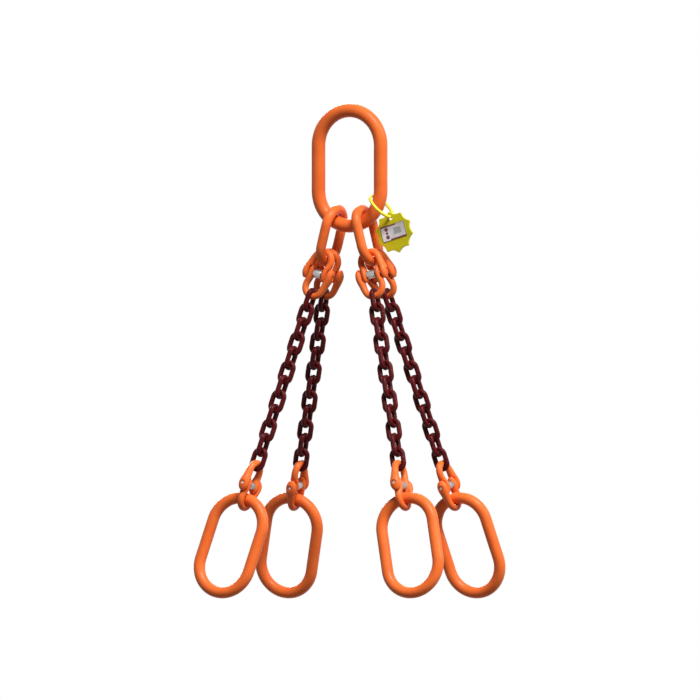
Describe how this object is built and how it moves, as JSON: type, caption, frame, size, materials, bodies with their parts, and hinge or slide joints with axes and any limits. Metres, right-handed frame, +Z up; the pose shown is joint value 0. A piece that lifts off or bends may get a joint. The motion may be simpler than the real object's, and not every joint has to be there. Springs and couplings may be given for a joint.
{
  "type": "chain sling",
  "caption": "Lifting sling of oblong master link, intermediate links and chain legs, with pinned connecting links, open end links and a scalloped hanging tag.",
  "frame": {"origin": "inside of the master link's upper bend, where a hook bears", "axes": "+Z up along the line of the hook, +X to the right across the master link's opening, +Y to the back; the tag hangs at +X and faces -Y"},
  "size_m": [0.3886, 0.2118, 0.6825],
  "materials": {
    "orange_paint": "satin",
    "chain_paint": "satin",
    "bare_steel": "satin",
    "tag_paint": "satin",
    "loop_coat": "gloss",
    "label_face": "satin"
  },
  "bodies": {
    "master": {"master_link": "orange_paint"},
    "intermediate_left": {"intermediate_link_left": "orange_paint"},
    "intermediate_right": {"intermediate_link_right": "orange_paint"},
    "left_front_upper_coupling_top": {"left_front_upper_coupling_upper_half": "orange_paint", "left_front_upper_coupling_pin": "bare_steel"},
    "left_front_upper_coupling_bottom": {"left_front_upper_coupling_lower_half": "orange_paint"},
    "left_front_chain_1": {"left_front_chain_1": "chain_paint"},
    "left_front_chain_2": {"left_front_chain_2": "chain_paint"},
    "left_front_chain_3": {"left_front_chain_3": "chain_paint"},
    "left_front_chain_4": {"left_front_chain_4": "chain_paint"},
    "left_front_chain_5": {"left_front_chain_5": "chain_paint"},
    "left_front_chain_6": {"left_front_chain_6": "chain_paint"},
    "left_front_lower_coupling_top": {"left_front_lower_coupling_upper_half": "orange_paint", "left_front_lower_coupling_pin": "bare_steel"},
    "left_front_lower_coupling_bottom": {"left_front_lower_coupling_lower_half": "orange_paint"},
    "left_front_end_link": {"left_front_end_link": "orange_paint"},
    "left_back_upper_coupling_top": {"left_back_upper_coupling_upper_half": "orange_paint", "left_back_upper_coupling_pin": "bare_steel"},
    "left_back_upper_coupling_bottom": {"left_back_upper_coupling_lower_half": "orange_paint"},
    "left_back_chain_1": {"left_back_chain_1": "chain_paint"},
    "left_back_chain_2": {"left_back_chain_2": "chain_paint"},
    "left_back_chain_3": {"left_back_chain_3": "chain_paint"},
    "left_back_chain_4": {"left_back_chain_4": "chain_paint"},
    "left_back_chain_5": {"left_back_chain_5": "chain_paint"},
    "left_back_chain_6": {"left_back_chain_6": "chain_paint"},
    "left_back_lower_coupling_top": {"left_back_lower_coupling_upper_half": "orange_paint", "left_back_lower_coupling_pin": "bare_steel"},
    "left_back_lower_coupling_bottom": {"left_back_lower_coupling_lower_half": "orange_paint"},
    "left_back_end_link": {"left_back_end_link": "orange_paint"},
    "right_front_upper_coupling_top": {"right_front_upper_coupling_upper_half": "orange_paint", "right_front_upper_coupling_pin": "bare_steel"},
    "right_front_upper_coupling_bottom": {"right_front_upper_coupling_lower_half": "orange_paint"},
    "right_front_chain_1": {"right_front_chain_1": "chain_paint"},
    "right_front_chain_2": {"right_front_chain_2": "chain_paint"},
    "right_front_chain_3": {"right_front_chain_3": "chain_paint"},
    "right_front_chain_4": {"right_front_chain_4": "chain_paint"},
    "right_front_chain_5": {"right_front_chain_5": "chain_paint"},
    "right_front_chain_6": {"right_front_chain_6": "chain_paint"},
    "right_front_lower_coupling_top": {"right_front_lower_coupling_upper_half": "orange_paint", "right_front_lower_coupling_pin": "bare_steel"},
    "right_front_lower_coupling_bottom": {"right_front_lower_coupling_lower_half": "orange_paint"},
    "right_front_end_link": {"right_front_end_link": "orange_paint"},
    "right_back_upper_coupling_top": {"right_back_upper_coupling_upper_half": "orange_paint", "right_back_upper_coupling_pin": "bare_steel"},
    "right_back_upper_coupling_bottom": {"right_back_upper_coupling_lower_half": "orange_paint"},
    "right_back_chain_1": {"right_back_chain_1": "chain_paint"},
    "right_back_chain_2": {"right_back_chain_2": "chain_paint"},
    "right_back_chain_3": {"right_back_chain_3": "chain_paint"},
    "right_back_chain_4": {"right_back_chain_4": "chain_paint"},
    "right_back_chain_5": {"right_back_chain_5": "chain_paint"},
    "right_back_chain_6": {"right_back_chain_6": "chain_paint"},
    "right_back_lower_coupling_top": {"right_back_lower_coupling_upper_half": "orange_paint", "right_back_lower_coupling_pin": "bare_steel"},
    "right_back_lower_coupling_bottom": {"right_back_lower_coupling_lower_half": "orange_paint"},
    "right_back_end_link": {"right_back_end_link": "orange_paint"},
    "tag_loop": {"tag_loop": "loop_coat"},
    "tag": {"tag_plate": "tag_paint", "tag_label": "label_face"}
  },
  "joints": [
    {"name": "intermediate_left_swing", "type": "hinge", "parent": "master", "child": "intermediate_left", "pos_m": [-0.02782, 0, -0.14073], "axis": [-0.9673, 0, 0.2538], "range_deg": [-30, 30]},
    {"name": "intermediate_right_swing", "type": "hinge", "parent": "master", "child": "intermediate_right", "pos_m": [0.02782, 0, -0.14073], "axis": [0.9673, 0, 0.2538], "range_deg": [-30, 30]},
    {"name": "left_front_upper_coupling_top_swing", "type": "hinge", "parent": "intermediate_left", "child": "left_front_upper_coupling_top", "pos_m": [-0.03595, -0.01462, -0.19436], "axis": [0, 0.982, -0.1891], "range_deg": [-15, 40]},
    {"name": "left_front_upper_coupling_bottom_swing", "type": "hinge", "parent": "left_front_upper_coupling_top", "child": "left_front_upper_coupling_bottom", "pos_m": [-0.04164, -0.01328, -0.21603], "axis": [0.9684, -0.0472, -0.245], "range_deg": [-60, 12]},
    {"name": "left_front_chain_1_swing", "type": "hinge", "parent": "left_front_upper_coupling_bottom", "child": "left_front_chain_1", "pos_m": [-0.04755, -0.01762, -0.23856], "axis": [0, -0.982, 0.1891], "range_deg": [-40, 20]},
    {"name": "left_front_chain_2_swing", "type": "hinge", "parent": "left_front_chain_1", "child": "left_front_chain_2", "pos_m": [-0.05985, -0.02665, -0.28544], "axis": [-0.9684, 0.0472, 0.245], "range_deg": [-20, 40]},
    {"name": "left_front_chain_3_swing", "type": "hinge", "parent": "left_front_chain_2", "child": "left_front_chain_3", "pos_m": [-0.0685, -0.03301, -0.31844], "axis": [0, 0.982, -0.1891], "range_deg": [-30, 40]},
    {"name": "left_front_chain_4_swing", "type": "hinge", "parent": "left_front_chain_3", "child": "left_front_chain_4", "pos_m": [-0.0808, -0.04203, -0.36532], "axis": [0.9684, -0.0472, -0.245], "range_deg": [-40, 30]},
    {"name": "left_front_chain_5_swing", "type": "hinge", "parent": "left_front_chain_4", "child": "left_front_chain_5", "pos_m": [-0.08946, -0.04839, -0.39832], "axis": [0, -0.982, 0.1891], "range_deg": [-40, 30]},
    {"name": "left_front_chain_6_swing", "type": "hinge", "parent": "left_front_chain_5", "child": "left_front_chain_6", "pos_m": [-0.10176, -0.05742, -0.4452], "axis": [-0.9684, 0.0472, 0.245], "range_deg": [-30, 40]},
    {"name": "left_front_lower_coupling_top_swing", "type": "hinge", "parent": "left_front_chain_6", "child": "left_front_lower_coupling_top", "pos_m": [-0.11224, -0.06511, -0.48513], "axis": [0.9684, -0.0472, -0.245], "range_deg": [-60, 45]},
    {"name": "left_front_lower_coupling_bottom_swing", "type": "hinge", "parent": "left_front_lower_coupling_top", "child": "left_front_lower_coupling_bottom", "pos_m": [-0.11815, -0.06945, -0.50767], "axis": [0, 0.982, -0.1891], "range_deg": [-60, 60]},
    {"name": "left_front_end_link_swing", "type": "hinge", "parent": "left_front_lower_coupling_bottom", "child": "left_front_end_link", "pos_m": [-0.12294, -0.07296, -0.52593], "axis": [-0.9684, 0.0472, 0.245], "range_deg": [-45, 60]},
    {"name": "left_back_upper_coupling_top_swing", "type": "hinge", "parent": "intermediate_left", "child": "left_back_upper_coupling_top", "pos_m": [-0.03595, 0.01462, -0.19436], "axis": [0, 0.982, 0.1891], "range_deg": [-15, 40]},
    {"name": "left_back_upper_coupling_bottom_swing", "type": "hinge", "parent": "left_back_upper_coupling_top", "child": "left_back_upper_coupling_bottom", "pos_m": [-0.04164, 0.01328, -0.21603], "axis": [0.9684, 0.0472, -0.245], "range_deg": [-12, 60]},
    {"name": "left_back_chain_1_swing", "type": "hinge", "parent": "left_back_upper_coupling_bottom", "child": "left_back_chain_1", "pos_m": [-0.04755, 0.01762, -0.23856], "axis": [0, -0.982, -0.1891], "range_deg": [-40, 20]},
    {"name": "left_back_chain_2_swing", "type": "hinge", "parent": "left_back_chain_1", "child": "left_back_chain_2", "pos_m": [-0.05985, 0.02665, -0.28544], "axis": [-0.9684, -0.0472, 0.245], "range_deg": [-40, 20]},
    {"name": "left_back_chain_3_swing", "type": "hinge", "parent": "left_back_chain_2", "child": "left_back_chain_3", "pos_m": [-0.0685, 0.03301, -0.31844], "axis": [0, 0.982, 0.1891], "range_deg": [-30, 40]},
    {"name": "left_back_chain_4_swing", "type": "hinge", "parent": "left_back_chain_3", "child": "left_back_chain_4", "pos_m": [-0.0808, 0.04203, -0.36532], "axis": [0.9684, 0.0472, -0.245], "range_deg": [-30, 40]},
    {"name": "left_back_chain_5_swing", "type": "hinge", "parent": "left_back_chain_4", "child": "left_back_chain_5", "pos_m": [-0.08946, 0.04839, -0.39832], "axis": [0, -0.982, -0.1891], "range_deg": [-40, 30]},
    {"name": "left_back_chain_6_swing", "type": "hinge", "parent": "left_back_chain_5", "child": "left_back_chain_6", "pos_m": [-0.10176, 0.05742, -0.4452], "axis": [-0.9684, -0.0472, 0.245], "range_deg": [-40, 30]},
    {"name": "left_back_lower_coupling_top_swing", "type": "hinge", "parent": "left_back_chain_6", "child": "left_back_lower_coupling_top", "pos_m": [-0.11224, 0.06511, -0.48513], "axis": [0.9684, 0.0472, -0.245], "range_deg": [-45, 60]},
    {"name": "left_back_lower_coupling_bottom_swing", "type": "hinge", "parent": "left_back_lower_coupling_top", "child": "left_back_lower_coupling_bottom", "pos_m": [-0.11815, 0.06945, -0.50767], "axis": [0, 0.982, 0.1891], "range_deg": [-60, 60]},
    {"name": "left_back_end_link_swing", "type": "hinge", "parent": "left_back_lower_coupling_bottom", "child": "left_back_end_link", "pos_m": [-0.12294, 0.07296, -0.52593], "axis": [-0.9684, -0.0472, 0.245], "range_deg": [-60, 45]},
    {"name": "right_front_upper_coupling_top_swing", "type": "hinge", "parent": "intermediate_right", "child": "right_front_upper_coupling_top", "pos_m": [0.03595, -0.01462, -0.19436], "axis": [0, 0.982, -0.1891], "range_deg": [-40, 15]},
    {"name": "right_front_upper_coupling_bottom_swing", "type": "hinge", "parent": "right_front_upper_coupling_top", "child": "right_front_upper_coupling_bottom", "pos_m": [0.04164, -0.01328, -0.21603], "axis": [0.9684, 0.0472, 0.245], "range_deg": [-60, 12]},
    {"name": "right_front_chain_1_swing", "type": "hinge", "parent": "right_front_upper_coupling_bottom", "child": "right_front_chain_1", "pos_m": [0.04755, -0.01762, -0.23856], "axis": [0, -0.982, 0.1891], "range_deg": [-20, 40]},
    {"name": "right_front_chain_2_swing", "type": "hinge", "parent": "right_front_chain_1", "child": "right_front_chain_2", "pos_m": [0.05985, -0.02665, -0.28544], "axis": [-0.9684, -0.0472, -0.245], "range_deg": [-20, 40]},
    {"name": "right_front_chain_3_swing", "type": "hinge", "parent": "right_front_chain_2", "child": "right_front_chain_3", "pos_m": [0.0685, -0.03301, -0.31844], "axis": [0, 0.982, -0.1891], "range_deg": [-40, 30]},
    {"name": "right_front_chain_4_swing", "type": "hinge", "parent": "right_front_chain_3", "child": "right_front_chain_4", "pos_m": [0.0808, -0.04203, -0.36532], "axis": [0.9684, 0.0472, 0.245], "range_deg": [-40, 30]},
    {"name": "right_front_chain_5_swing", "type": "hinge", "parent": "right_front_chain_4", "child": "right_front_chain_5", "pos_m": [0.08946, -0.04839, -0.39832], "axis": [0, -0.982, 0.1891], "range_deg": [-30, 40]},
    {"name": "right_front_chain_6_swing", "type": "hinge", "parent": "right_front_chain_5", "child": "right_front_chain_6", "pos_m": [0.10176, -0.05742, -0.4452], "axis": [-0.9684, -0.0472, -0.245], "range_deg": [-30, 40]},
    {"name": "right_front_lower_coupling_top_swing", "type": "hinge", "parent": "right_front_chain_6", "child": "right_front_lower_coupling_top", "pos_m": [0.11224, -0.06511, -0.48513], "axis": [0.9684, 0.0472, 0.245], "range_deg": [-60, 45]},
    {"name": "right_front_lower_coupling_bottom_swing", "type": "hinge", "parent": "right_front_lower_coupling_top", "child": "right_front_lower_coupling_bottom", "pos_m": [0.11815, -0.06945, -0.50767], "axis": [0, 0.982, -0.1891], "range_deg": [-60, 60]},
    {"name": "right_front_end_link_swing", "type": "hinge", "parent": "right_front_lower_coupling_bottom", "child": "right_front_end_link", "pos_m": [0.12294, -0.07296, -0.52593], "axis": [-0.9684, -0.0472, -0.245], "range_deg": [-45, 60]},
    {"name": "right_back_upper_coupling_top_swing", "type": "hinge", "parent": "intermediate_right", "child": "right_back_upper_coupling_top", "pos_m": [0.03595, 0.01462, -0.19436], "axis": [0, 0.982, 0.1891], "range_deg": [-40, 15]},
    {"name": "right_back_upper_coupling_bottom_swing", "type": "hinge", "parent": "right_back_upper_coupling_top", "child": "right_back_upper_coupling_bottom", "pos_m": [0.04164, 0.01328, -0.21603], "axis": [0.9684, -0.0472, 0.245], "range_deg": [-12, 60]},
    {"name": "right_back_chain_1_swing", "type": "hinge", "parent": "right_back_upper_coupling_bottom", "child": "right_back_chain_1", "pos_m": [0.04755, 0.01762, -0.23856], "axis": [0, -0.982, -0.1891], "range_deg": [-20, 40]},
    {"name": "right_back_chain_2_swing", "type": "hinge", "parent": "right_back_chain_1", "child": "right_back_chain_2", "pos_m": [0.05985, 0.02665, -0.28544], "axis": [-0.9684, 0.0472, -0.245], "range_deg": [-40, 20]},
    {"name": "right_back_chain_3_swing", "type": "hinge", "parent": "right_back_chain_2", "child": "right_back_chain_3", "pos_m": [0.0685, 0.03301, -0.31844], "axis": [0, 0.982, 0.1891], "range_deg": [-40, 30]},
    {"name": "right_back_chain_4_swing", "type": "hinge", "parent": "right_back_chain_3", "child": "right_back_chain_4", "pos_m": [0.0808, 0.04203, -0.36532], "axis": [0.9684, -0.0472, 0.245], "range_deg": [-30, 40]},
    {"name": "right_back_chain_5_swing", "type": "hinge", "parent": "right_back_chain_4", "child": "right_back_chain_5", "pos_m": [0.08946, 0.04839, -0.39832], "axis": [0, -0.982, -0.1891], "range_deg": [-30, 40]},
    {"name": "right_back_chain_6_swing", "type": "hinge", "parent": "right_back_chain_5", "child": "right_back_chain_6", "pos_m": [0.10176, 0.05742, -0.4452], "axis": [-0.9684, 0.0472, -0.245], "range_deg": [-40, 30]},
    {"name": "right_back_lower_coupling_top_swing", "type": "hinge", "parent": "right_back_chain_6", "child": "right_back_lower_coupling_top", "pos_m": [0.11224, 0.06511, -0.48513], "axis": [0.9684, -0.0472, 0.245], "range_deg": [-45, 60]},
    {"name": "right_back_lower_coupling_bottom_swing", "type": "hinge", "parent": "right_back_lower_coupling_top", "child": "right_back_lower_coupling_bottom", "pos_m": [0.11815, 0.06945, -0.50767], "axis": [0, 0.982, 0.1891], "range_deg": [-60, 60]},
    {"name": "right_back_end_link_swing", "type": "hinge", "parent": "right_back_lower_coupling_bottom", "child": "right_back_end_link", "pos_m": [0.12294, 0.07296, -0.52593], "axis": [-0.9684, 0.0472, -0.245], "range_deg": [-60, 45]},
    {"name": "tag_loop_swing", "type": "hinge", "parent": "master", "child": "tag_loop", "pos_m": [0.04744, 0, -0.11108], "axis": [0.2079, 0, 0.9781], "range_deg": [-40, 40]},
    {"name": "tag_swing", "type": "hinge", "parent": "tag_loop", "child": "tag", "pos_m": [0.06383, 0, -0.13743], "axis": [0, 1, 0], "range_deg": [-80, 10]}
  ]
}
